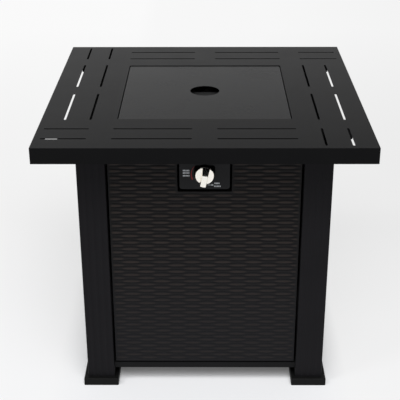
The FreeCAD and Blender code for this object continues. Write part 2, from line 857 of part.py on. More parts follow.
def make_valve():
    half = valve_width / 2
    flange = box(centred(valve_flange_width), (-control_back, -control_back + valve_flange),
                 (knob_height - valve_flange_height / 2, knob_height + valve_flange_height / 2))
    z_span = (knob_height - half, knob_height + half)
    block = box((-half, half), (-control_back + valve_flange, -valve_back), z_span)
    block = fillet_along(block, valve_edge_radius, Y_AXIS)
    outlet = rod(valve_boss_radius, knob_point(valve_back), knob_point(outlet_back))
    inlet_start = vec(-half, -control_back + inlet_setback, knob_height)
    inlet = rod(valve_boss_radius, inlet_start, inlet_start - X_AXIS * valve_boss_length)
    recess = rod(valve_recess_radius, knob_point(control_back), knob_point(control_back - valve_recess_depth))
    stem_bore = rod(stem_radius + turning_clearance, knob_point(control_face),
                    knob_point(collar_front - stem_tail - knob_push_gap))
    cutters = [recess, stem_bore]
    for place in valve_screw_places(control_back):
        cutters.append(rod(screw_radius + hole_clearance, place - Y_AXIS, place + Y_AXIS * 2 * valve_flange))
    outlet_bore = rod(valve_bore_radius, knob_point(valve_back + valve_boss_length), knob_point(outlet_back))
    inlet_bore = rod(valve_bore_radius, inlet_start, inlet_start - X_AXIS * valve_boss_length)
    return fuse([flange, block, outlet, inlet]).cut(cutters + [outlet_bore, inlet_bore])


def make_gas_inlet():
    """Hexagon and threaded tail that the tank's regulator hose screws on to."""
    start = vec(-valve_width / 2 - valve_boss_length, -control_back + inlet_setback, knob_height)
    away = vec(-1, 0, 0)
    nut = hexagon(start, away, inlet_flats, inlet_hex_length)
    end = start + away * (inlet_hex_length + inlet_tail_length)
    tail = rod(inlet_tail_radius, start + away * inlet_hex_length, end)
    return fuse([nut, tail]).cut(rod(inlet_bore_radius, start + X_AXIS, end + away))


def make_control_screws():
    shapes = [small_screw(place, Y_AXIS, screw_length) for place in valve_screw_places(control_face)]
    for place in control_screw_places():
        shapes.append(small_screw(place + Y_AXIS * rail_wall, vec(0, -1, 0), screw_length))
    return Part.makeCompound(shapes)


def make_igniter():
    x_span = (valve_width / 2, valve_width / 2 + igniter_width)
    z_span = (knob_height - igniter_height / 2, knob_height + igniter_height / 2)
    block = box(x_span, (-igniter_back - igniter_depth, -igniter_back), z_span)
    return fillet_along(block, igniter_edge_radius, Y_AXIS, lambda middle: middle.x > valve_width)


# Fire pan, burner and gas train

def pan_screw_places():
    half = pan_screw_spacing / 2
    places = []
    for along in (-half, half):
        for across in (-pan_screw_offset, pan_screw_offset):
            places.append((along, across))
            places.append((across, along))
    return places


def make_pan_screws():
    low = ledge_bottom - pan_sheet
    length = pan_sheet + top_sheet
    return Part.makeCompound([small_screw(vec(x, y, low), Z_AXIS, length) for x, y in pan_screw_places()])


def pilot_places():
    return [vec(-pilot_spacing / 2, -pilot_offset, 0), vec(pilot_spacing / 2, -pilot_offset, 0)]


def make_fire_pan():
    outer = rounded_slab(pan_width, pan_width, (pan_under, ledge_bottom), pan_corner_radius)
    brim_width = pan_width + 2 * pan_flange
    brim = rounded_slab(brim_width, brim_width, (ledge_bottom - pan_sheet, ledge_bottom), lid_corner_radius)
    inner_width = pan_width - 2 * pan_sheet
    inner = rounded_slab(inner_width, inner_width, (pan_floor, table_height), pan_corner_radius - pan_sheet)
    cutters = [inner, rod(burner_neck_radius + hole_clearance, ORIGIN, Z_AXIS * table_height)]
    for x in (-pan_drain_offset, pan_drain_offset):
        for y in (-pan_drain_offset, pan_drain_offset):
            cutters.append(rod(pan_drain_radius, vec(x, y, pan_under - pan_sheet), vec(x, y, ledge_bottom)))
    for x, y in pan_screw_places():
        cutters.append(rod(screw_radius + hole_clearance, vec(x, y, pan_floor), vec(x, y, table_height)))
    slot_span = (-pilot_offset - pilot_slot_width / 2, -pilot_offset + pilot_slot_width / 2)
    cutters.append(box(centred(pilot_slot_length), slot_span, (pan_under - pan_sheet, ledge_bottom)))
    return fuse([outer, brim]).cut(cutters)


def make_burner():
    """A hollow ring with a cross tube, ports along its top, and a neck through the pan's floor."""
    level = vec(0, 0, burner_height)
    ring = Part.makeTorus(burner_radius, burner_tube_radius, level, Z_AXIS)
    bore = Part.makeTorus(burner_radius, burner_tube_radius - burner_wall, level, Z_AXIS)
    reach = X_AXIS * (burner_radius - burner_wall)
    cross = rod(burner_cross_radius, level - reach, level + reach)
    cross_bore = rod(burner_cross_radius - burner_wall, level - reach, level + reach)
    hub = rod(burner_hub_radius, vec(0, 0, pan_floor), vec(0, 0, hub_top))
    neck = rod(burner_neck_radius, vec(0, 0, neck_end), vec(0, 0, pan_floor))
    feed = rod(burner_bore_radius, vec(0, 0, neck_end), level)
    ports = []
    for step in range(burner_ports):
        angle = 2 * math.pi * (step + 0.5) / burner_ports
        place = vec(burner_radius * math.cos(angle), burner_radius * math.sin(angle), burner_height)
        ports.append(rod(burner_port_radius, place, place + Z_AXIS * 2 * burner_tube_radius))
    return fuse([ring, cross, hub, neck]).cut([bore, cross_bore, feed] + ports)


def make_jam_nut():
    nut = hexagon(vec(0, 0, pan_under), vec(0, 0, -1), jam_nut_flats, jam_nut_height)
    return nut.cut(rod(burner_neck_radius + turning_clearance, ORIGIN, Z_AXIS * table_height))


def make_elbow():
    drop = vec(0, 0, neck_end - elbow_drop)
    level = vec(0, 0, elbow_height)
    upright = rod(elbow_radius, drop, vec(0, 0, neck_end))
    arm = rod(mixer_radius, level, level - Y_AXIS * elbow_reach)
    bores = [rod(burner_bore_radius, level, vec(0, 0, neck_end)),
             rod(burner_bore_radius, level, level - Y_AXIS * elbow_reach)]
    return fuse([upright, arm]).cut(bores)


def make_mixer():
    start = vec(0, -elbow_reach, elbow_height)
    end = vec(0, -mixer_end, elbow_height)
    tube = rod(mixer_radius, start, end)
    cap = end + Y_AXIS * (mixer_radius - mixer_bore_radius)
    far = -mixer_end + mixer_window_setback
    window = box(centred(4 * mixer_radius), (far, far + mixer_window_length),
                 (elbow_height - mixer_window_width / 2, elbow_height + mixer_window_width / 2))
    nose = rod(orifice_nose_radius + turning_clearance, end - Y_AXIS, end + Y_AXIS * mixer_radius)
    return tube.cut([rod(mixer_bore_radius, start, cap), window, nose])


def make_orifice():
    end = vec(0, -mixer_end, elbow_height)
    nut = hexagon(end, vec(0, -1, 0), orifice_flats, orifice_length)
    nose = rod(orifice_nose_radius, end, end + Y_AXIS * orifice_nose_length)
    return fuse([nut, nose])


def pipe_ends():
    return vec(0, -orifice_end, elbow_height), vec(0, -outlet_back, knob_height)


def make_pipe_nuts():
    """Flare nuts at the two ends of the gas pipe."""
    near, far = pipe_ends()
    shapes = []
    for start, away in ((near, vec(0, -1, 0)), (far, Y_AXIS)):
        nut = hexagon(start, away, pipe_nut_flats, pipe_nut_length)
        shapes.append(nut.cut(rod(pipe_radius, start - away, start + away * 2 * pipe_nut_length)))
    return Part.makeCompound(shapes)


def make_gas_pipe():
    near, far = pipe_ends()
    third = (near.y - far.y) / 3
    points = [near, vec(0, near.y - third, near.z), vec(0, far.y + third, far.z), far]
    return bent_tube(points, pipe_radius)


def make_pilot_bracket():
    y_span = (-pilot_offset - pilot_plate_width / 2, -pilot_offset + pilot_plate_width / 2)
    plate = box(centred(pilot_plate_length), y_span, (pan_floor, pan_floor + pilot_plate))
    left, right = pilot_places()
    holes = [rod(thermocouple_radius + hole_clearance, left, left + Z_AXIS * table_height),
             rod(ceramic_radius + hole_clearance, right, right + Z_AXIS * table_height)]
    return plate.cut(holes)


def make_electrode():
    """Ceramic body with a collar on the bracket, and a bare wire that leans to the burner."""
    base = pilot_places()[1]
    seat = base + Z_AXIS * (pan_floor + pilot_plate)
    body = rod(ceramic_radius, base + Z_AXIS * electrode_low, base + Z_AXIS * electrode_top)
    collar = rod(ceramic_collar_radius, seat, seat + Z_AXIS * ceramic_collar_height)
    tip = base + Z_AXIS * electrode_top
    wire = rod(electrode_wire_radius, tip, tip + vec(0, electrode_wire_length, electrode_wire_length / 2))
    wire = wire.cut(body)
    return Part.makeCompound([fuse([body, collar]), wire])


def make_thermocouple():
    base = pilot_places()[0]
    seat = base + Z_AXIS * (pan_floor + pilot_plate)
    body = rod(thermocouple_radius, base + Z_AXIS * electrode_low, base + Z_AXIS * thermocouple_top)
    collar = rod(ceramic_collar_radius, seat, seat + Z_AXIS * ceramic_collar_height)
    return fuse([body, collar])


def make_lead(start, end, radius, side):
    """A lead that drops from its piece under the pan, runs forward and goes straight into the valve."""
    low = start - Z_AXIS * lead_drop
    run = (low.y - end.y) / 3
    level = (low.z + end.z) / 2
    sideways = low.x + (end.x - low.x) / 2 + side
    points = [start, low, vec(sideways, low.y - run, level), vec(end.x, end.y + run, end.z), end]
    return bent_tube(points, radius)


def make_ignition_lead():
    start = pilot_places()[1] + Z_AXIS * electrode_low
    end = vec((valve_width + igniter_width) / 2, -igniter_back, knob_height)
    return make_lead(start, end, lead_radius, lead_bow)


def make_thermocouple_lead():
    start = pilot_places()[0] + Z_AXIS * electrode_low
    inset = valve_width / 2 - valve_edge_radius
    return make_lead(start, vec(-inset, -valve_back, knob_height - inset), capillary_radius, -lead_bow)


def make_heat_shield():
    """A channel that hangs from the pan's floor, open at the front for the pipe and the leads."""
    half = shield_width / 2
    low = pan_under - shield_drop
    run = centred(shield_length)
    bottom = box((-half, half), run, (low, low + shield_sheet))
    parts = [bottom]
    for side in (-1, 1):
        wall = sorted((side * half, side * (half - shield_sheet)))
        parts.append(box(wall, run, (low, pan_under)))
        flange = sorted((side * half, side * (half - shield_flange)))
        parts.append(box(flange, run, (pan_under - shield_sheet, pan_under)))
    return fuse(parts)


def make_rock(centre_x, centre_y, base, radius, height, dice):
    """A rough stone: rings of uneven corners from a flat underside to a smaller flat top."""
    rings = []
    twist = dice.uniform(0, 2 * math.pi)
    uneven = [dice.uniform(rock_least_side, 1) for side in range(rock_sides)]
    for share, size in rock_rings:
        ring = []
        for side in range(rock_sides):
            angle = twist + 2 * math.pi * side / rock_sides
            reach = radius * size * uneven[side] * dice.uniform(rock_least_corner, 1)
            lift = 0
            if 0 < share < 1:
                lift = dice.uniform(-rock_ring_shift, rock_ring_shift)
            ring.append(vec(centre_x + reach * math.cos(angle), centre_y + reach * math.sin(angle),
                            base + height * (share + lift)))
        rings.append(ring)
    faces = [Part.Face(Part.makePolygon(ring + ring[:1])) for ring in (rings[0], rings[-1])]
    for lower, upper in zip(rings, rings[1:]):
        for side in range(rock_sides):
            after = (side + 1) % rock_sides
            for middle, last in ((lower[after], upper[after]), (upper[after], upper[side])):
                faces.append(Part.Face(Part.makePolygon([lower[side], middle, last, lower[side]])))
    rock = Part.Solid(Part.Shell(faces))
    if rock.Volume < 0:
        rock.reverse()
    return rock


def rock_rows():
    """Places of the floor rocks outside the burner ring: every grid point that is clear of it."""
    places = []
    keep_out = burner_radius + burner_tube_radius + rock_radius + rock_ring_gap
    rows = int(pan_width / 2 / rock_pitch)
    for column in range(-rows, rows):
        for row in range(-rows, rows):
            x = (column + 0.5) * rock_pitch
            y = (row + 0.5) * rock_pitch
            if math.hypot(x, y) > keep_out:
                places.append((x, y))
    return places


def make_rocks():
    dice = random.Random(rock_seed)
    ceiling = lid_bottom - rock_headroom
    floor = pan_floor + rock_seat_gap
    rocks = []
    for x, y in rock_rows():
        height = rock_height + dice.uniform(-rock_headroom, rock_headroom)
        rocks.append(make_rock(x, y, floor, rock_radius, height, dice))
    for x in (-inner_rock_x, inner_rock_x):
        for y in (-inner_rock_y, inner_rock_y):
            rocks.append(make_rock(x, y, floor, inner_rock_radius, burner_top - floor, dice))
    crown = burner_top + rock_seat_gap
    for step in range(crown_rocks):
        angle = 2 * math.pi * (step + crown_phase) / crown_rocks
        rocks.append(make_rock(burner_radius * math.cos(angle), burner_radius * math.sin(angle), crown,
                               rock_radius, rock_low_height, dice))
    centre = hub_top + rock_seat_gap
    rocks.append(make_rock(0, 0, centre, centre_rock_radius, ceiling - centre, dice))
    far = burner_radius + burner_tube_radius + 2 * small_rock_radius
    for x, y in ((0, far), (-far, 0), (far, 0)):
        rocks.append(make_rock(x, y, floor, small_rock_radius, burner_height - floor, dice))
    return Part.makeCompound(rocks)


# Door at the back, hung on two pins

def door_axis_x():
    return -door_half() + door_pin_inset


def door_axis_y():
    return panel_face - door_pin_setback


def door_half():
    return post_inner - door_clear


def make_door():
    depth = panel_depth - door_gap
    door = quarter(folded_panel(panel_outline(door_half()), panel_face, panel_sheet, depth, panel_flange), 2)
    axis = vec(door_axis_x(), door_axis_y(), 0)
    cutters = [rod(door_pin_radius + hole_clearance, axis, axis + Z_AXIS * table_height)]
    for place in pull_places():
        cutters.append(rod(screw_radius + hole_clearance, place - Y_AXIS * panel_depth, place + Y_AXIS))
    return door.cut(cutters)


def make_door_pins():
    """Pins through the door's folded ends, their heads inside the door."""
    axis = vec(door_axis_x(), door_axis_y(), 0)
    top_seat = axis + Z_AXIS * (panel_top - panel_sheet)
    low_seat = axis + Z_AXIS * (panel_bottom + panel_sheet)
    top = screw(top_seat, Z_AXIS, door_pin_head_radius, door_pin_head, door_pin_radius, door_pin_top)
    down = vec(0, 0, -1)
    low = screw(low_seat, down, door_pin_head_radius, door_pin_head, door_pin_radius, door_pin_bottom)
    return Part.makeCompound([top, low])


def make_door_spacer():
    axis = vec(door_axis_x(), door_axis_y(), 0)
    ring = rod(door_spacer_radius, axis + Z_AXIS * tray_top, axis + Z_AXIS * (panel_bottom - door_spacer_gap))
    return ring.cut(rod(door_pin_radius + turning_clearance, axis, axis + Z_AXIS * table_height))


def make_door_bracket():
    """A tongue from the back rail that takes the door's top pin."""
    low = panel_top + door_bracket_gap
    half = door_bracket_width / 2
    x_span = (door_axis_x() - door_pin_inset - panel_side_gap, door_axis_x() + half)
    tongue = box(x_span, (back_rail_plane, flange_plane + door_bracket_reach), (low, low + door_bracket))
    heel = box(x_span, (back_rail_plane, back_rail_plane + door_bracket), (low, post_top))
    axis = vec(door_axis_x(), door_axis_y(), 0)
    bore = rod(door_pin_radius + turning_clearance, axis, axis + Z_AXIS * table_height)
    return fuse([tongue, heel]).cut(bore)


def make_magnet():
    """Magnet catch: a housing behind the back rail, with its poles under the rail facing the door."""
    back = back_rail_plane - rail_wall
    x_high = door_half() - panel_sheet
    x_span = (x_high - magnet_width, x_high)
    top = post_top - rail_wall
    housing = box(x_span, (back - magnet_depth, back), (top - magnet_height - magnet_pole_height, top))
    face = panel_face - (panel_depth - door_gap) - magnet_gap
    poles = box(x_span, (back - rail_wall, face), (rail_bottom - magnet_pole_height, rail_bottom))
    return fuse([housing, poles])


def pull_places():
    x = door_half() - pull_inset
    reach = pull_length / 2 - pull_radius
    return [vec(x, panel_face, pull_centre - reach), vec(x, panel_face, pull_centre + reach)]


def make_door_pull():
    low, high = pull_places()
    out = Y_AXIS * (pull_projection - pull_radius)
    pull = bent_tube([low, low + out, high + out, high], pull_radius, pull_bend)
    holes = [rod(screw_radius, place - Y_AXIS, place + Y_AXIS * pull_screw_depth) for place in (low, high)]
    return pull.cut(holes)


def make_pull_screws():
    seats = [place - Y_AXIS * panel_sheet for place in pull_places()]
    return Part.makeCompound([small_screw(seat, Y_AXIS, pull_screw_depth) for seat in seats])


# Fasteners of the frame

def make_post_bolts():
    shapes = []
    for x in (-post_centre, post_centre):
        for y in (-bar_offset, bar_offset):
            seat = vec(x, y, post_top + bar_wall)
            head = hexagon(seat, Z_AXIS, post_bolt_flats, post_bolt_head)
            shapes.append(fuse([head, rod(post_bolt_radius, seat - Z_AXIS * post_bolt_length, seat)]))
    return Part.makeCompound(shapes)


def make_top_nuts():
    shapes = []
    for x, y in stud_places():
        nut = hexagon(vec(x, y, post_top), vec(0, 0, -1), nut_flats, nut_height)
        thread = rod(stud_radius + turning_clearance, vec(x, y, rail_bottom), vec(x, y, top_under))
        shapes.append(nut.cut(thread))
    return Part.makeCompound(shapes)


def make_panel_screws():
    shapes = []
    for turns in (0, 1, 3):
        for place in panel_screw_places():
            one = small_screw(place + Y_AXIS * rail_wall, vec(0, -1, 0), screw_length)
            shapes.append(quarter(one, turns))
    return Part.makeCompound(shapes)


def make_nodes():
    nodes = {"tabletop": make_tabletop(), "lid": make_lid()}
    nodes["top_bar_front"] = make_bar(-1)
    nodes["top_bar_back"] = make_bar(1)
    nodes["top_rib_left"] = make_rib(-1)
    nodes["top_rib_right"] = make_rib(1)
    nodes.update(make_posts())
    nodes.update(make_feet())
    nodes["upper_rail_front"] = make_rail(panel_screw_places() + control_screw_places(), flange_plane)
    nodes["upper_rail_right"] = quarter(make_rail(panel_screw_places(), flange_plane), 1)
    nodes["upper_rail_back"] = quarter(make_rail([], back_rail_plane), 2)
    nodes["upper_rail_left"] = quarter(make_rail(panel_screw_places(), flange_plane), 3)
    nodes["front_panel"] = make_front_panel()
    nodes["right_panel"] = quarter(make_plain_panel(), 1)
    nodes["left_panel"] = quarter(make_plain_panel(), 3)
    nodes["base_tray"] = make_base_tray()
    nodes["tank_ring"] = make_tank_ring()
    nodes["tank_wing_screw"] = make_tank_screw()
    nodes["control_panel"] = make_control_panel()
    nodes["knob_bezel"] = make_bezel()
    nodes["control_knob"] = make_knob()
    nodes["valve_stem"] = make_stem()
    nodes["stem_collar"] = make_collar()
    nodes["stem_spring"] = make_spring()
    nodes["valve_body"] = make_valve()
    nodes["gas_inlet"] = make_gas_inlet()
    nodes["control_screws"] = make_control_screws()
    nodes["igniter_module"] = make_igniter()
    nodes["ignition_lead"] = make_ignition_lead()
    nodes["spark_electrode"] = make_electrode()
    nodes["thermocouple"] = make_thermocouple()
    nodes["thermocouple_lead"] = make_thermocouple_lead()
    nodes["pilot_bracket"] = make_pilot_bracket()
    nodes["fire_pan"] = make_fire_pan()
    nodes["pan_screws"] = make_pan_screws()
    nodes["burner_ring"] = make_burner()
    nodes["burner_jam_nut"] = make_jam_nut()
    nodes["burner_elbow"] = make_elbow()
    nodes["air_mixer"] = make_mixer()
    nodes["gas_orifice"] = make_orifice()
    nodes["gas_pipe"] = make_gas_pipe()
    nodes["pipe_nuts"] = make_pipe_nuts()
    nodes["heat_shield"] = make_heat_shield()
    nodes["lava_rocks"] = make_rocks()
    nodes["back_door"] = make_door()
    nodes["door_pins"] = make_door_pins()
    nodes["door_spacer"] = make_door_spacer()
    nodes["door_bracket"] = make_door_bracket()
    nodes["magnet_catch"] = make_magnet()
    nodes["door_pull"] = make_door_pull()
    nodes["pull_screws"] = make_pull_screws()
    nodes["post_bolts"] = make_post_bolts()
    nodes["top_nuts"] = make_top_nuts()
    nodes["panel_screws"] = make_panel_screws()
    return nodes


os.makedirs("parts", exist_ok=True)
for node, shape in make_nodes().items():
    print(node, len(shape.Solids), shape.isValid(), round(shape.Volume))
    shape.exportStep("parts/" + node + ".step")
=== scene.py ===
import json
import math
import bmesh
import bpy
import numpy as np
from mathutils import Matrix, Vector


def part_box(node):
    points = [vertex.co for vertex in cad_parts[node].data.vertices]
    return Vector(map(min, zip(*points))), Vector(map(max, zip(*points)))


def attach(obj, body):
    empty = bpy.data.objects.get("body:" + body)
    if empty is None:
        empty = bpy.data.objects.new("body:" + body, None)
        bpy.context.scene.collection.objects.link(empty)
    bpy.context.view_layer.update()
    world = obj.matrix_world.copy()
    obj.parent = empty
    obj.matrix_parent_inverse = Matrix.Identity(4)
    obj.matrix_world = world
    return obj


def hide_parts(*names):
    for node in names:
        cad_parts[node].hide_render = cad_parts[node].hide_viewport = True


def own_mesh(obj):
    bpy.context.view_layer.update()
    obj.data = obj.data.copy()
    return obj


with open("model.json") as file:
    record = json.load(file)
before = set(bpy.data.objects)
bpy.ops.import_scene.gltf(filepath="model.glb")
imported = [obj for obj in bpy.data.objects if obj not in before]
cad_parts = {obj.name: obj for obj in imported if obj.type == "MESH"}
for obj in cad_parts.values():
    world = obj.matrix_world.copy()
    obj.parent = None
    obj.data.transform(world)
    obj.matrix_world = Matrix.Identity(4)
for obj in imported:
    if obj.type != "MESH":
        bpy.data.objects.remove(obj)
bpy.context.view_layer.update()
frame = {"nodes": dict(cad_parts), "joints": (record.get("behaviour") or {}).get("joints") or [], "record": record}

nodes = frame["nodes"]
MM = 0.001

# Camera: where it stands, which way it looks, and its picture, 400 pixels wide
camera_place = (3.9 * MM, -2131.6 * MM, 1374.3 * MM)
camera_down = 24.594
camera_left = 0.381
camera_roll = -0.164
picture_width = 400
focal_pixels = 953.6
sensor_width = 36.0
axis_pixel = (200.7, 181.5)


def make_camera():
    data = bpy.data.cameras.new("camera")
    data.sensor_width = sensor_width
    data.lens = sensor_width * focal_pixels / picture_width
    data.shift_x = (picture_width / 2 - axis_pixel[0]) / picture_width
    data.shift_y = (axis_pixel[1] - picture_width / 2) / picture_width
    camera = bpy.data.objects.new("camera", data)
    bpy.context.scene.collection.objects.link(camera)
    turn = Matrix.Rotation(math.radians(camera_left), 4, "Z")
    tilt = Matrix.Rotation(math.radians(90 - camera_down), 4, "X")
    roll = Matrix.Rotation(math.radians(camera_roll), 4, "Z")
    camera.matrix_world = Matrix.Translation(camera_place) @ turn @ tilt @ roll
    bpy.context.scene.camera = camera


make_camera()


# Shader maths

class Value:
    """What comes out of a socket. Sums, differences and products of values add Math nodes to their graph."""

    def __init__(self, graph, socket):
        self.graph = graph
        self.socket = socket

    def math(self, operation, *values):
        return self.graph.node("Math", {"operation": operation}, dict(enumerate(values)))

    def __add__(self, other):
        return self.math("ADD", self, other)

    def __radd__(self, other):
        return self.math("ADD", other, self)

    def __sub__(self, other):
        return self.math("SUBTRACT", self, other)

    def __rsub__(self, other):
        return self.math("SUBTRACT", other, self)

    def __mul__(self, other):
        return self.math("MULTIPLY", self, other)

    def __rmul__(self, other):
        return self.math("MULTIPLY", other, self)


class Graph:
    """The nodes of a material or of the world."""

    def __init__(self, tree):
        self.tree = tree

    def node(self, kind, settings, inputs, output=0):
        """Adds a node: its settings first, then a value or a link for each named or numbered socket."""
        made = self.tree.nodes.new("ShaderNode" + kind)
        for name, value in settings.items():
            if name == "stops":
                self.set_stops(made.color_ramp, value)
            else:
                setattr(made, name, value)
        for name, value in inputs.items():
            self.feed(made.inputs[name], value)
        return Value(self, made.outputs[output])

    def set_stops(self, ramp, stops):
        while len(ramp.elements) < len(stops):
            ramp.elements.new(1)
        for element, (place, level) in zip(ramp.elements, stops):
            element.position = place
            element.color = (level, level, level, 1)

    def feed(self, socket, value):
        if isinstance(value, Value):
            self.tree.links.new(value.socket, socket)
        else:
            socket.default_value = value

    def part(self, place, name):
        """One coordinate of a place."""
        return self.node("SeparateXYZ", {}, {0: place}, name)

    def slope(self, value, start, end):
        """A level that follows a value between a start and an end. Each is a value and its level."""
        inputs = dict(zip(("From Min", "To Min", "From Max", "To Max"), start + end))
        return self.node("MapRange", {}, {"Value": value, **inputs})

    def seen(self):
        """1 for what the camera and reflections see, 0 for the light that reaches the table."""
        seen = self.node("LightPath", {}, {}, "Is Camera Ray")
        for kind in ("Is Glossy Ray", "Is Transmission Ray"):
            seen = seen.math("MAXIMUM", seen, self.node("LightPath", {}, {}, kind))
        return seen


class Paint(Graph):
    """A procedural material. Fixed values go straight on the shader's sockets."""

    def __init__(self, name, **fixed):
        self.material = bpy.data.materials.new(name)
        self.material.use_nodes = True
        super().__init__(self.material.node_tree)
        self.shader = self.tree.nodes["Principled BSDF"]
        for socket, value in fixed.items():
            self.shader.inputs[socket.replace("_", " ")].default_value = value

    def place(self):
        return self.node("TexCoord", {}, {}, "Object")

    def axis(self, name):
        """One Object coordinate, in metres."""
        return self.part(self.place(), name)

    def stretched(self, x, y, z):
        return self.node("Mapping", {}, {"Vector": self.place(), "Scale": (x, y, z)})

    def noise(self, size, detail=3.0, roughness=0.55, place=None):
        """Noise between 0 and 1 whose patches are about so many metres across."""
        place = place or self.place()
        inputs = {"Vector": place, "Scale": 1 / size, "Detail": detail, "Roughness": roughness}
        return self.node("TexNoise", {}, inputs)

    def cells(self, size):
        """Distance to the nearest of many spots, about so many metres apart."""
        return self.node("TexVoronoi", {}, {"Vector": self.place(), "Scale": 1 / size})

    def ramp(self, value, *stops):
        """A level that follows a value between 0 and 1. Each stop is a value and its level."""
        return self.node("ValToRGB", {"stops": stops}, {"Fac": value})

    def ramp_along(self, name, *stops):
        """A level that follows one Object coordinate. Each stop is a place in metres and its level."""
        start, length = stops[0][0], stops[-1][0] - stops[0][0]
        shares = [((place - start) / length, level) for place, level in stops]
        return self.ramp((self.axis(name) - start) * (1 / length), *shares)

    def blend(self, share, first, second):
        """A colour between two colours."""
        return self.node("Mix", {"data_type": "RGBA"}, {0: share, 6: first, 7: second}, 2)

    def bump(self, height, depth):
        return self.node("Bump", {}, {"Height": height, "Distance": depth, "Strength": 1.0})

    def finish(self, **linked):
        """Feeds the shader's sockets and gives the material."""
        for socket, value in linked.items():
            self.feed(self.shader.inputs[socket.replace("_", " ")], value)
        return self.material


def add_object(name, data):
    made = bpy.data.objects.new(name, data)
    bpy.context.scene.collection.objects.link(made)
    return made


# Floor and light. A pair is a place and the level there: on the floor, the place is in metres from the
# middle of the table, and on the backdrop it is the height or the side of a way that is 1 long.

floor_half = 30.0
floor_near = (0.925, 0.932, 0.955, 1)
floor_far = (0.94, 0.94, 0.94, 1)
floor_shift = ((-0.4, 0.0), (0.6, 1.0))
glow_share = ((-0.36, 0.60), (-0.27, 0.12), (0.27, 0.12), (0.34, 0.80))
glow_backwards = ((0.0, 0.95), (0.6, 0.86), (1.4, 0.88), (2.8, 0.97))
glow_sideways = ((-0.3, 1.0), (0.5, 0.95), (1.1, 0.92), (3.0, 1.0))
glow_uneven = ((4.0, 1.0), (8.0, 0.0))
backdrop_light = ((0.15, 0.95), (0.6, 0.35))
backdrop_steepness = ((-0.3, 0.58), (0.3, 1.42))
fill = 0.22
side_lamp = {"left": 62.0, "height": 50.0, "spread": 14.0, "strength": 0.6}
front_lamp = {"left": -5.0, "height": 60.0, "spread": 44.0, "strength": 2.25}


def make_floor():
    """A matt white floor, a shade bluer near the camera. A glow that only the camera and reflections see
    is painted light: it makes its shadows a little paler, more so beside the table than under it. Near the table,
    the glow is weaker behind it and to its right, which paints a faint shade there."""
    mesh = bpy.data.meshes.new("floor")
    corners = [(-floor_half, -floor_half, 0), (floor_half, -floor_half, 0),
               (floor_half, floor_half, 0), (-floor_half, floor_half, 0)]
    mesh.from_pydata(corners, [], [(0, 1, 2, 3)])
    paint = Paint("floor", Roughness=1.0, Specular_IOR_Level=0.0)
    paint.finish(Base_Color=paint.blend(paint.ramp_along("Y", *floor_shift), floor_near, floor_far))
    # Painted light: a glow that only the camera and reflections see, which pales the floor's shadows
    share = paint.ramp_along("X", *glow_share) * paint.seen()
    # Painted shade: the glow is weaker behind the table and to its right
    painted_floor_shade = 1 - paint.ramp_along("Y", *glow_backwards) * paint.ramp_along("X", *glow_sideways)
    glow = paint.node("Emission", {}, {"Color": 1 - painted_floor_shade * paint.ramp_along("Y", *glow_uneven)})
    matt = Value(paint, paint.shader.outputs[0])
    surface = paint.tree.nodes["Material Output"].inputs["Surface"]
    paint.feed(surface, paint.node("MixShader", {}, {0: share, 1: matt, 2: glow}))
    mesh.materials.append(paint.material)
    add_object("floor", mesh)


def make_lamp(name, left, height, spread, strength):
    """A large soft light far away, at a turn to the left of the front and a height, as wide as its spread.
    All three are in degrees."""
    left, height = math.radians(left), math.radians(height)
    way = Vector((-math.sin(left) * math.cos(height), -math.cos(left) * math.cos(height), math.sin(height)))
    data = bpy.data.lights.new(name, "SUN")
    data.angle = math.radians(spread)
    data.energy = strength
    add_object(name, data).matrix_world = way.to_track_quat("Z", "Y").to_matrix().to_4x4()


def make_dome():
    """A backdrop that the camera and reflections see, pale near the floor and darker overhead, more steeply
    so to the right, with a softer fill for everything else."""
    dome = bpy.data.worlds.new("dome")
    bpy.context.scene.world = dome
    dome.use_nodes = True
    dome.cycles.sampling_method = "NONE"
    sky = Graph(dome.node_tree)
    way = sky.node("TexCoord", {}, {}, "Generated")
    steepness = sky.slope(sky.part(way, "X"), *backdrop_steepness)
    light = sky.slope(sky.part(way, "Z") * steepness, *backdrop_light)
    background = sky.tree.nodes["Background"]
    background.inputs["Color"].default_value = (1, 1, 1, 1)
    sky.feed(background.inputs["Strength"], fill + (light - fill) * sky.seen())


make_floor()
make_lamp("side_lamp", **side_lamp)
make_lamp("front_lamp", **front_lamp)
make_dome()
bpy.context.scene.view_settings.view_transform = "Standard"


# Finishes

def grey(level):
    return (level, level, level, 1)


def scaled(colour, factor):
    """A darker or paler shade of a colour."""
    return tuple(factor * part for part in colour[:3]) + (1,)


paint_tint = (0.98, 0.98, 1.03)
post_tint = (1.0, 0.96, 1.08)
lid_tint = (0.92, 0.98, 1.10)
plain = (1.0, 1.0, 1.0, 1)
blue_sheen = (0.965, 0.975, 1.0, 1)
lid_underside = 628.0 * MM
underside_dullness = 0.22


def powder_coat(name, level, roughness, shine, tint=paint_tint, grain=0.8 * MM, relief=0.015 * MM,
                sheen=plain, dull_below=None):
    """Baked powder paint: fine orange peel, faint clouds and slightly duller patches. It may be duller below
    a height, as under a sheet."""
    paint = Paint(name, Specular_IOR_Level=shine, Specular_Tint=sheen)
    peel = paint.noise(grain, 2.0)
    clouds = paint.noise(90 * MM, 4.0)
    colour = paint.blend(clouds, scaled(tint, level * 0.85), scaled(tint, level * 1.15))
    rough = roughness + (clouds - 0.5) * 0.10 + (peel - 0.5) * 0.06
    if dull_below:
        rough = rough + clouds.math("LESS_THAN", paint.axis("Z"), dull_below) * underside_dullness
    return paint.finish(Base_Color=colour, Roughness=rough, Normal=paint.bump(peel, relief))


def moulded(name, colour, roughness, shine=0.4, grain=0.6 * MM, relief=0.02 * MM):
    """Moulded plastic or rubber with a spark-eroded texture."""
    paint = Paint(name, Specular_IOR_Level=shine)
    peel = paint.noise(grain, 1.0)
    clouds = paint.noise(25 * MM, 3.0)
    shade = paint.blend(clouds, scaled(colour, 0.85), colour)
    rough = roughness + (clouds - 0.5) * 0.12
    return paint.finish(Base_Color=shade, Roughness=rough, Normal=paint.bump(peel, relief))


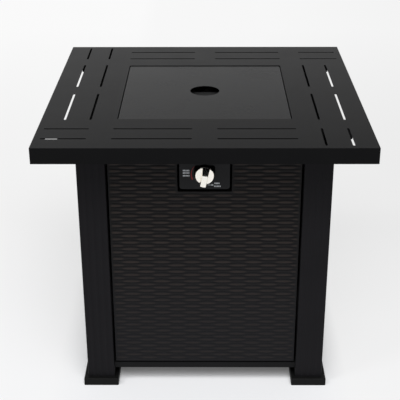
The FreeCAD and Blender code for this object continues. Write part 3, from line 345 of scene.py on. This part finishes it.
dots = (1.0, 1.0, 1.0)
lines_along_y = (1.0, 0.1, 1.0)


def metal(name, colour, roughness, marks=dots, mark_size=0.5 * MM, relief=0.004 * MM, stain=0.25):
    """Bare metal: fine marks of a tool or a brush, as dots or as lines along an axis, and faint tarnish."""
    paint = Paint(name, Metallic=1.0)
    brush = paint.noise(mark_size, 3.0, 0.6, paint.stretched(*marks))
    tarnish = paint.noise(18 * MM, 4.0)
    shade = paint.blend(tarnish, scaled(colour, 1 - stain), colour)
    rough = roughness + (brush - 0.5) * 0.15 + (tarnish - 0.5) * 0.10
    return paint.finish(Base_Color=shade, Roughness=rough, Normal=paint.bump(brush, relief))


lava_brown = (0.070, 0.062, 0.058, 1)
lava_grey = (0.125, 0.118, 0.113, 1)
lava_pit_shade = (0.018, 0.014, 0.013, 1)


def lava():
    """Porous stone: pits of two sizes in a grey-brown body, with painted shade in the pits."""
    paint = Paint("lava", Roughness=0.95, Specular_IOR_Level=0.2)
    large = paint.ramp(paint.cells(7 * MM), (0.15, 0.0), (0.45, 1.0))
    small = paint.ramp(paint.cells(2.6 * MM), (0.1, 0.3), (0.5, 1.0))
    solid = large * small
    body = paint.blend(paint.noise(45 * MM, 3.0), lava_brown, lava_grey)
    # Painted shade in the pits
    colour = paint.blend(solid, lava_pit_shade, body)
    return paint.finish(Base_Color=colour, Normal=paint.bump(solid, 1.2 * MM))


ceramic_white = (0.78, 0.76, 0.71, 1)
ceramic_soot = (0.50, 0.46, 0.40, 1)


def glazed():
    """White ceramic under a clear glaze, sooted in patches by the pilot flame."""
    paint = Paint("glazed", Coat_Weight=0.5, Coat_Roughness=0.08)
    soot = paint.noise(6 * MM, 4.0)
    share = paint.ramp(soot, (0.45, 0.0), (0.8, 1.0))
    colour = paint.blend(share, ceramic_white, ceramic_soot)
    return paint.finish(Base_Color=colour, Roughness=0.25 + soot * 0.1)


def ink(name, colour):
    """Printed ink, a little uneven."""
    paint = Paint(name, Roughness=0.6, Specular_IOR_Level=0.2)
    return paint.finish(Base_Color=paint.blend(paint.noise(4 * MM), scaled(colour, 0.8), colour))


# Weave colours: painted crease shade, painted light low on the panel, the paint itself, and the painted brown
# highlight on raised strands
crease_shade_colour = (0.0030, 0.0030, 0.0034, 1)
bounce_light_colour = (0.0140, 0.0140, 0.0160, 1)
weave_body = (0.0117, 0.0111, 0.0113, 1)
highlight_colour = (0.0335, 0.0262, 0.0230, 1)
lens_half = 0.34
lens_deep = 0.18
lens_soft = 0.14
lens_drop = 0.04
lens_outline = ((0.20, 0.0), (0.29, 0.345), (0.40, 0.54), (0.50, 0.705), (0.65, 0.87), (0.85, 0.98),
                (1.0, 1.0))
crease_swing = 0.125
crease_edge = ((0.03, 1.0), (0.11, 0.0))
# Where the painted highlight starts inside its lens, and the patches that it comes in
painted_highlight_edge = ((0.05, 0.0), (1.0, 1.0))
painted_highlight_patches = ((0.3, 0.7), (0.65, 1.0))
# Heights over which the painted light low on the panel fades out
bounce_light_height = ((0.15, 0.55), (0.40, 0.0))


def woven_paint():
    """Satin paint on the embossed weave. The weave's own place counts cells and strands. Each strand has a
    painted brown highlight where it is raised, in a lens whose half width follows an outline over the cosine of
    its swing, and painted shade in the creases between strands. Low on the panel, the colour is painted paler and
    a shade bluer, standing in for light from the floor, which evens it out."""
    paint = Paint("woven_paint", Specular_IOR_Level=0.06)
    place = paint.node("UVMap", {"uv_map": "weave"}, {})
    cell = paint.part(place, "X")
    strand = paint.part(place, "Y") + lens_drop
    number = strand.math("FLOOR", strand)
    near = number.math("ABSOLUTE", strand - number - 0.5)
    wave = number.math("COSINE", (cell + number) * math.pi)

    def lens(swing, across):
        """How far a place is inside the lens. It is below 0 outside it."""
        raised = paint.ramp(swing * 0.5 + 0.5, *lens_outline)
        return raised * (lens_half + lens_deep) - lens_deep - across

    depth = near.math("MAXIMUM", lens(wave, near), lens(wave * -1, 1 - near)) * (1 / lens_soft)
    woven = paint.node("Attribute", {"attribute_name": "woven"}, {}, "Fac")
    aside = near.math("ABSOLUTE", near - wave * crease_swing - 0.5)
    # Painted shade along the creases between strands
    crease_shade = paint.ramp(aside, *crease_edge) * woven
    clouds = paint.noise(30 * MM, 3.0, 0.6, paint.stretched(1.0, 1.0, 4.0))
    # Painted brown highlight on the raised middle of each strand, in patches
    painted_highlight = paint.ramp(depth, *painted_highlight_edge) * woven * paint.ramp(clouds, *painted_highlight_patches)
    colour = paint.blend(crease_shade, weave_body, crease_shade_colour)
    colour = paint.blend(painted_highlight, colour, highlight_colour)
    # Painted light low on the panel, standing in for light bounced from the floor
    colour = paint.blend(paint.ramp_along("Z", *bounce_light_height), colour, bounce_light_colour)
    peel = paint.noise(0.8 * MM, 2.0)
    rough = 0.42 + (clouds - 0.5) * 0.2
    return paint.finish(Base_Color=colour, Roughness=rough, Normal=paint.bump(peel, 0.015 * MM))


def make_finishes():
    """One material for each finish in the record."""
    return {
        "top_paint": powder_coat("top_paint", 0.0050, 0.30, 0.047, sheen=blue_sheen),
        "frame_paint": powder_coat("frame_paint", 0.010, 0.45, 0.05),
        "post_paint": powder_coat("post_paint", 0.0108, 0.42, 0.05, post_tint),
        "pan_steel": powder_coat("pan_steel", 0.015, 0.65, 0.2, plain, 1.2 * MM, 0.03 * MM),
        "control_paint": powder_coat("control_paint", 0.0165, 0.50, 0.08),
        "pull_paint": powder_coat("pull_paint", 0.010, 0.42, 0.2),
        "wicker_panel": woven_paint(),
        "foot_plastic": moulded("foot_plastic", grey(0.007), 0.50, 0.08),
        "bezel_plastic": moulded("bezel_plastic", grey(0.0008), 0.6, 0.0),
        "igniter_plastic": moulded("igniter_plastic", grey(0.03), 0.5),
        "magnet_plastic": moulded("magnet_plastic", grey(0.05), 0.5),
        "spacer_plastic": moulded("spacer_plastic", (0.60, 0.60, 0.58, 1), 0.45),
        "lead_rubber": moulded("lead_rubber", (0.35, 0.05, 0.04, 1), 0.5),
        "knob_chrome": metal("knob_chrome", (0.99, 0.95, 0.87, 1), 0.22, stain=0.03),
        "stem_steel": metal("stem_steel", (0.55, 0.55, 0.55, 1), 0.35),
        "valve_aluminium": metal("valve_aluminium", (0.62, 0.62, 0.63, 1), 0.5, dots, 1.5 * MM, 0.03 * MM),
        "fitting_brass": metal("fitting_brass", (0.62, 0.46, 0.20, 1), 0.32),
        "pipe_aluminium": metal("pipe_aluminium", (0.68, 0.69, 0.70, 1), 0.35, lines_along_y),
        "burner_steel": metal("burner_steel", (0.50, 0.47, 0.43, 1), 0.38, stain=0.5),
        "shield_steel": metal("shield_steel", (0.55, 0.55, 0.56, 1), 0.55, dots, 8 * MM, stain=0.3),
        "capillary_copper": metal("capillary_copper", (0.60, 0.32, 0.20, 1), 0.35),
        "zinc_screws": metal("zinc_screws", (0.45, 0.45, 0.46, 1), 0.42),
        "black_screws": powder_coat("black_screws", 0.02, 0.4, 0.3),
        "electrode_ceramic": glazed(),
        "lava_rock": lava(),
    }


finishes = make_finishes()
lid_finish = powder_coat("lid_paint", 0.002, 0.26, 0.106, lid_tint, sheen=blue_sheen,
                         dull_below=lid_underside)


def dress_nodes():
    """Gives each node the finish of its slot, and the lid its own."""
    for part in frame["record"]["subparts"]:
        mesh = nodes[part["node"]].data
        mesh.materials.clear()
        mesh.materials.append(lid_finish if part["node"] == "lid" else finishes[part["material_slot"]])


dress_nodes()


# New pieces

sharp_angle = 35.0


def piece(name, points, faces, body, slot, finish=None):
    """A mesh in the table's own frame that rides on a body. As a rule, its finish is that of its slot."""
    mesh = bpy.data.meshes.new(name)
    mesh.from_pydata(points.tolist(), [], faces.tolist())
    mesh.shade_smooth()
    mesh.set_sharp_from_angle(angle=math.radians(sharp_angle))
    mesh.materials.append(finish or finishes[slot])
    made = add_object(name, mesh)
    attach(made, body)
    return made


def grid_faces(rows, columns, closed_rows=False, closed_columns=False):
    """Quads between neighbouring points of a grid, which may join its last row or column to the first."""
    row = np.arange(rows if closed_rows else rows - 1)[:, None]
    column = np.arange(columns if closed_columns else columns - 1)[None, :]
    next_row = (row + 1) % rows
    next_column = (column + 1) % columns
    corners = (row * columns + column, row * columns + next_column, next_row * columns + next_column,
               next_row * columns + column)
    return np.stack(corners, -1).reshape(-1, 4)


def join(shells):
    """One list of points and one of faces from several shells."""
    starts = np.cumsum([0] + [len(points) for points, faces in shells[:-1]])
    faces = [faces + start for (points, faces), start in zip(shells, starts)]
    return np.concatenate([points for points, faces in shells]), np.concatenate(faces)


def smooth_step(value, low, high):
    """A share that goes smoothly from 0 at low to 1 at high."""
    share = np.clip((value - low) / (high - low), 0, 1)
    return share * share * (3 - 2 * share)


# Woven panels

strand_pitch = 8.26 * MM
cell_width = 34.3 * MM
cell_start = -11.3 * MM
strand_start = -4.5 * MM
strand_swing = 0.65 * MM
strand_depth = 1.3 * MM
weave_margin = 4.0 * MM
weave_fade = 3.0 * MM
column_step = 5.7 * MM
row_step = 1.18 * MM
edge_band = 2.0 * MM
edge_lines = np.array([0.0, 0.1, 0.3, 0.55, 0.8]) * MM
panel_sheet = 1.0 * MM
panel_flange = 12.0 * MM
fold_radius = 0.8 * MM
fold_points = 4
# A quarter turn, which brings the right side of the table to the front
quarter_back = np.array([(0, -1, 0), (1, 0, 0), (0, 0, 1)], float)
control_side_gap = 4.5 * MM
control_low_gap = 10.5 * MM
foot_flat = 6.0 * MM
foot_fade = 5.0 * MM


def weave_place(u, v):
    """A place on the weave, counted in cells along the strands and in strands across them."""
    return (u - cell_start) / cell_width - 0.5, (v - strand_start) / strand_pitch


def weave(u, v):
    """Height of the weave below its highest point. Each strand is a parabola across, and swings up and down
    by a cosine along, against its neighbours. The highest strand at a point is the one that shows."""
    cell, across = weave_place(u, v)
    nearest = np.floor(across)
    heights = []
    for strand in (nearest - 1, nearest, nearest + 1):
        swing = strand_swing * (np.cos(np.pi * (cell + strand)) - 1)
        heights.append(swing - 4 * strand_depth * (across - strand - 0.5) ** 2)
    return np.max(heights, 0)


def grid_lines(step, *stops):
    """Lines a step apart between the stops, and closer together in a band beside each stop, where an edge
    is rounded."""
    lines = []
    for low, high in zip(stops[:-1], stops[1:]):
        inner_low, inner_high = low + edge_band, high - edge_band
        count = max(2, round((inner_high - inner_low) / step) + 1)
        lines += [low + edge_lines, np.linspace(inner_low, inner_high, count), high - edge_lines[::-1]]
    return np.unique(np.round(np.concatenate(lines), 7))


def plate(u, v, inside, front, back):
    """A sheet between a front and a back height over a grid, made of the cells that are inside, with a wall
    along every edge. The points that it keeps are numbered as on the grid, the back ones after the front."""
    rows, columns = u.shape
    points = np.concatenate([np.stack([u, v, height], -1).reshape(-1, 3) for height in (front, back)])
    far = rows * columns
    cells = grid_faces(rows, columns)[inside.ravel()]
    faces = [cells, cells[:, ::-1] + far]
    around = np.pad(inside, 1)
    index = np.arange(far).reshape(rows, columns)
    low_left, low_right = index[:-1, :-1], index[:-1, 1:]
    high_left, high_right = index[1:, :-1], index[1:, 1:]
    sides = ((around[:-2, 1:-1], low_left, low_right), (around[2:, 1:-1], high_right, high_left),
             (around[1:-1, :-2], high_left, low_left), (around[1:-1, 2:], low_right, high_right))
    for beyond, first, last in sides:
        edge = inside & ~beyond
        start, end = first[edge], last[edge]
        faces.append(np.stack([end, start, start + far, end + far], 1))
    faces = np.concatenate(faces)
    used, numbers = np.unique(faces, return_inverse=True)
    return points[used], numbers.reshape(-1, 4), used


def fold(outline, depth):
    """The folded rim behind a panel: an L profile, carried round the outline with mitred corners. Each point
    of the profile is its inset from the outline and its height over the face."""
    turn = np.linspace(np.pi / 2, 0, fold_points)
    bend = np.stack([fold_radius * (1 - np.cos(turn)), fold_radius * (1 - np.sin(turn)) - depth], 1)
    profile = np.concatenate([[(panel_sheet, -panel_sheet), (panel_sheet, panel_sheet - depth),
                               (panel_flange, panel_sheet - depth), (panel_flange, -depth)], bend,
                              [(0, -panel_sheet)]])
    corners = np.array(outline)
    along = np.roll(corners, -1, 0) - corners
    along /= np.linalg.norm(along, axis=1)[:, None]
    inward = np.stack([-along[:, 1], along[:, 0]], 1)
    mitre = inward + np.roll(inward, 1, 0)
    ring = corners[None] + profile[:, :1, None] * mitre[None]
    height = np.broadcast_to(profile[:, 1:2, None], ring.shape[:2] + (1,))
    return np.concatenate([ring, height], -1).reshape(-1, 3), grid_faces(*ring.shape[:2], True, True)


def emboss(u, v, reach, feet):
    """Heights of a panel's front and back over its face, and the share of the weave that is left, which is
    less near the edges and the feet. The reach is the distance to the nearest edge, where the front is
    rounded."""
    woven = smooth_step(reach, weave_margin - weave_fade, weave_margin + weave_fade)
    for foot_u, foot_v in feet:
        woven = woven * smooth_step(np.hypot(u - foot_u, v - foot_v), foot_flat, foot_flat + foot_fade)
    relief = weave(u, v) * woven
    inset = np.clip(fold_radius - reach, 0, fold_radius)
    rounding = fold_radius - np.sqrt(fold_radius ** 2 - inset ** 2)
    return relief - rounding, relief - panel_sheet, woven


def make_woven_panel(node, name, body, turns, notch=None, feet=()):
    """A sheet embossed with a basket weave and folded back all round. Turns are the quarter turns from the
    front to its own side, a notch is a half width and a height, and a foot is a flat place on the weave."""
    low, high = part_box(node)
    corners = np.array([low, high]) @ np.linalg.matrix_power(quarter_back, turns)
    half = corners[:, 0].max()
    face, depth = -corners[:, 1].min(), np.ptp(corners[:, 1])
    bottom, top = corners[:, 2]
    outline = [(-half, bottom), (half, bottom), (half, top)]
    columns, rows = (-half, half), (bottom, top)
    if notch:
        side, sill = notch
        outline += [(side, top), (side, sill), (-side, sill), (-side, top)]
        columns, rows = (-half, -side, side, half), (bottom, sill, top)
    outline.append((-half, top))
    us, vs = grid_lines(column_step, *columns), grid_lines(row_step, *rows)
    u, v = np.meshgrid(us, vs)
    reach = np.minimum(np.minimum(half - abs(u), v - bottom), top - v)
    inside = np.ones((len(vs) - 1, len(us) - 1), bool)
    if notch:
        reach = np.minimum(reach, np.maximum(abs(u) - side, sill - v))
        middle_u, middle_v = (us[1:] + us[:-1]) / 2, (vs[1:] + vs[:-1]) / 2
        inside = (abs(middle_u)[None] > side) | (middle_v[:, None] < sill)
    front, back, woven = emboss(u, v, reach, feet)
    points, faces, used = plate(u, v, inside, front, back)
    rim_points, rim_faces = fold(outline, depth)
    share = np.concatenate([np.tile(woven.ravel(), 2)[used], np.zeros(len(rim_points))])
    points, faces = join([(points, faces), (rim_points, rim_faces)])
    height = points[:, 2]
    placed = np.stack([points[:, 0], -face - height, points[:, 1]], 1)
    made = piece(name, placed @ np.linalg.matrix_power(quarter_back.T, turns), faces, body, "wicker_panel")
    made.data.attributes.new("woven", "FLOAT", "POINT").data.foreach_set("value", share.astype(np.float32))
    spots = np.stack(weave_place(points[:, 0], points[:, 1]), 1)[faces.ravel()]
    made.data.uv_layers.new(name="weave").data.foreach_set("uv", spots.astype(np.float32).ravel())
    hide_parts(node)


def make_woven_panels():
    """One panel on each side. The front one leaves room for the control panel, and the back one is flat
    under the ends of the door's pull."""
    control_low, control_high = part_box("control_panel")
    notch = (control_high.x + control_side_gap, control_low.z - control_low_gap)
    pull_low, pull_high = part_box("door_pull")
    pull_half = (pull_high.x - pull_low.x) / 2
    pull_middle = (pull_high.x + pull_low.x) / 2
    feet = [(-pull_middle, pull_low.z + pull_half), (-pull_middle, pull_high.z - pull_half)]
    make_woven_panel("front_panel", "front_weave", "table", 0, notch)
    make_woven_panel("right_panel", "right_weave", "table", 1)
    make_woven_panel("back_door", "door_weave", "door", 2, feet=feet)
    make_woven_panel("left_panel", "left_weave", "table", 3)


make_woven_panels()


# Lava rocks

rock_detail = 3
rock_power = 12
rock_pits = 45
rock_pit_size = (0.12, 0.34)
rock_pit_depth = 0.10
rock_seed = 5


def solids_of(mesh):
    """The corners of a mesh's triangles, solid by solid. Corners at one place join, and a solid's number
    spreads over its triangles until it no longer changes."""
    count = len(mesh.vertices)
    points = np.empty(count * 3, np.float32)
    mesh.vertices.foreach_get("co", points)
    points = points.reshape(count, 3).astype(float)
    corners = np.empty(len(mesh.loops), np.int32)
    mesh.loops.foreach_get("vertex_index", corners)
    places, numbers = np.unique(np.round(points, 5), axis=0, return_inverse=True)
    triangles = numbers.ravel()[corners].reshape(-1, 3)
    solid = np.arange(len(places))
    while True:
        lowest = solid.copy()
        np.minimum.at(lowest, triangles.ravel(), np.repeat(solid[triangles].min(1), 3))
        if (lowest == solid).all():
            break
        solid = lowest
    groups = solid[triangles[:, 0]]
    return [places[triangles[groups == group]] for group in np.unique(groups)]


def sphere(detail):
    """Directions all round, evenly spread, and the triangles between them."""
    ball = bmesh.new()
    bmesh.ops.create_icosphere(ball, subdivisions=detail, radius=1)
    ways = np.array([corner.co for corner in ball.verts])
    faces = np.array([[corner.index for corner in face.verts] for face in ball.faces])
    ball.free()
    return ways, faces


def round_rock(triangles, ways, dice):
    """A worn stone inside a faceted one. Its reach each way is 1 over the p-norm of that way's share of the
    distance to every facet, less a hollow, the square of a parabola, at each pit."""
    middle = triangles.reshape(-1, 3).mean(0)
    normals = np.cross(triangles[:, 1] - triangles[:, 0], triangles[:, 2] - triangles[:, 0])
    normals /= np.linalg.norm(normals, axis=1)[:, None]
    distance = ((triangles[:, 0] - middle) * normals).sum(1)
    facets = np.unique(np.round(np.column_stack([normals, distance]), 4), axis=0)
    shares = np.maximum(ways @ facets[:, :3].T, 0) / facets[:, 3]
    reach = (shares ** rock_power).sum(1) ** (-1 / rock_power)
    pits = dice.normal(size=(rock_pits, 3))
    pits /= np.linalg.norm(pits, axis=1)[:, None]
    size = dice.uniform(*rock_pit_size, rock_pits)
    away = np.linalg.norm(ways[:, None] - pits[None], axis=2) / size
    hollow = (np.clip(1 - away ** 2, 0, 1) ** 2 * size / rock_pit_size[1]).max(1)
    return middle + ways * (reach * (1 - rock_pit_depth * hollow))[:, None]


def make_rocks():
    ways, faces = sphere(rock_detail)
    dice = np.random.default_rng(rock_seed)
    stones = [(round_rock(solid, ways, dice), faces) for solid in solids_of(nodes["lava_rocks"].data)]
    made = piece("worn_rocks", *join(stones), "table", "lava_rock")
    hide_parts("lava_rocks")


make_rocks()


# Return spring behind the knob

spring_wire = 0.45 * MM
spring_turns = 4
turn_steps = 24
wire_sides = 8
# Three quads across an end of the wire, by the numbers of its sides
wire_end = ((0, 1, 2, 3), (0, 3, 4, 7), (4, 5, 6, 7))


def make_spring():
    """A round wire carried along a helix about the knob's axis."""
    low, high = np.array(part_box("stem_spring"))
    middle_x, middle_z = (low + high)[[0, 2]] / 2
    coil = (high[0] - low[0]) / 2 - spring_wire
    length = high[1] - low[1]
    steps = spring_turns * turn_steps + 1
    turn, side = np.meshgrid(np.linspace(0, 2 * np.pi * spring_turns, steps),
                             np.linspace(0, 2 * np.pi, wire_sides, endpoint=False), indexing="ij")
    reach = coil + spring_wire * np.cos(side)
    along = (length - 2 * spring_wire) * turn / turn.max() + spring_wire * (1 + np.sin(side))
    across, up = middle_x + reach * np.cos(turn), middle_z + reach * np.sin(turn)
    points = np.stack([across, high[1] - along, up], -1).reshape(-1, 3)
    start = np.array(wire_end)
    end = start[:, ::-1] + len(points) - wire_sides
    faces = np.concatenate([grid_faces(steps, wire_sides, False, True), start, end])[:, ::-1]
    made = piece("return_spring", points, faces, "table", "stem_steel")
    push = next(joint for joint in frame["joints"] if joint["name"] == "knob_push")
    travel = max(push["range_m"])
    1 - travel / length
    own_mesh(made)
    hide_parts("stem_spring")


make_spring()


# Marks printed on the control panel, placed from the knob's axis. A row of ticks has a middle, a height and
# a count. A bar has a middle, a height, a width and how tall it is.

mark_thickness = 0.06 * MM
tick_width = 1.9 * MM
tick_gap = 1.05 * MM
tick_height = 3.3 * MM
flow_ticks = ((-39.5 * MM, 8.5 * MM, 5), (-39.5 * MM, 3.0 * MM, 5), (-39.5 * MM, -3.6 * MM, 5))
spark_ticks = ((26.5 * MM, -21.4 * MM, 4), (27.3 * MM, -28.2 * MM, 5))
pointer_line = (10.5 * MM, -25.3 * MM, 7.0 * MM, 0.8 * MM)
pointer_tip = (16.4 * MM, -25.3 * MM, 4.4 * MM, 2.4 * MM)
flow_arc_radius = 28.6 * MM
flow_arc_turn = (140.0, 206.0)
flow_arc_width = (0.5 * MM, 3.2 * MM)
flow_arc_points = 25
tick_ink = (0.62, 0.64, 0.66, 1)
arc_ink = (0.20, 0.018, 0.02, 1)


def printed(name, shapes, colour):
    """Ink on the control panel: each shape is a grid of places across and up from the knob's axis."""
    low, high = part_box("knob_bezel")
    # The lower half of the bezel is round, about the knob's axis
    axis = low.z + (high.x - low.x) / 2
    face = -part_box("control_panel")[0].y
    shells = []
    for across, up in shapes:
        inside = np.ones((across.shape[0] - 1, across.shape[1] - 1), bool)
        flat = np.zeros(across.shape)
        points, faces, used = plate(across, up, inside, flat + mark_thickness, flat)
        shells.append((np.stack([points[:, 0], -face - points[:, 2], axis + points[:, 1]], 1), faces))
    piece(name, *join(shells), "table", "control_paint", ink(name, colour))


def bar_mark(middle, height, width, tall):
    """A bar about its middle."""
    across = middle + width * np.array([-0.5, 0.5])
    up = height + tall * np.array([-0.5, 0.5])
    return np.meshgrid(across, up)


def tick_row(middle, height, count):
    """Upright ticks side by side, as on a scale."""
    pitch = tick_width + tick_gap
    return [bar_mark(middle + (place - (count - 1) / 2) * pitch, height, tick_width, tick_height)
            for place in range(count)]


def arc_mark():
    """A wedge bent round the knob: its width grows evenly with its turn."""
    turn = np.radians(np.linspace(*flow_arc_turn, flow_arc_points))
    width = np.linspace(*flow_arc_width, flow_arc_points)
    radius = np.stack([flow_arc_radius + width / 2, flow_arc_radius - width / 2])
    return radius * np.cos(turn), radius * np.sin(turn)


def make_marks():
    ticks = [tick for row in flow_ticks + spark_ticks for tick in tick_row(*row)]
    printed("control_ticks", ticks + [bar_mark(*pointer_line), bar_mark(*pointer_tip)], tick_ink)
    printed("flow_arc", [arc_mark()], arc_ink)


make_marks()
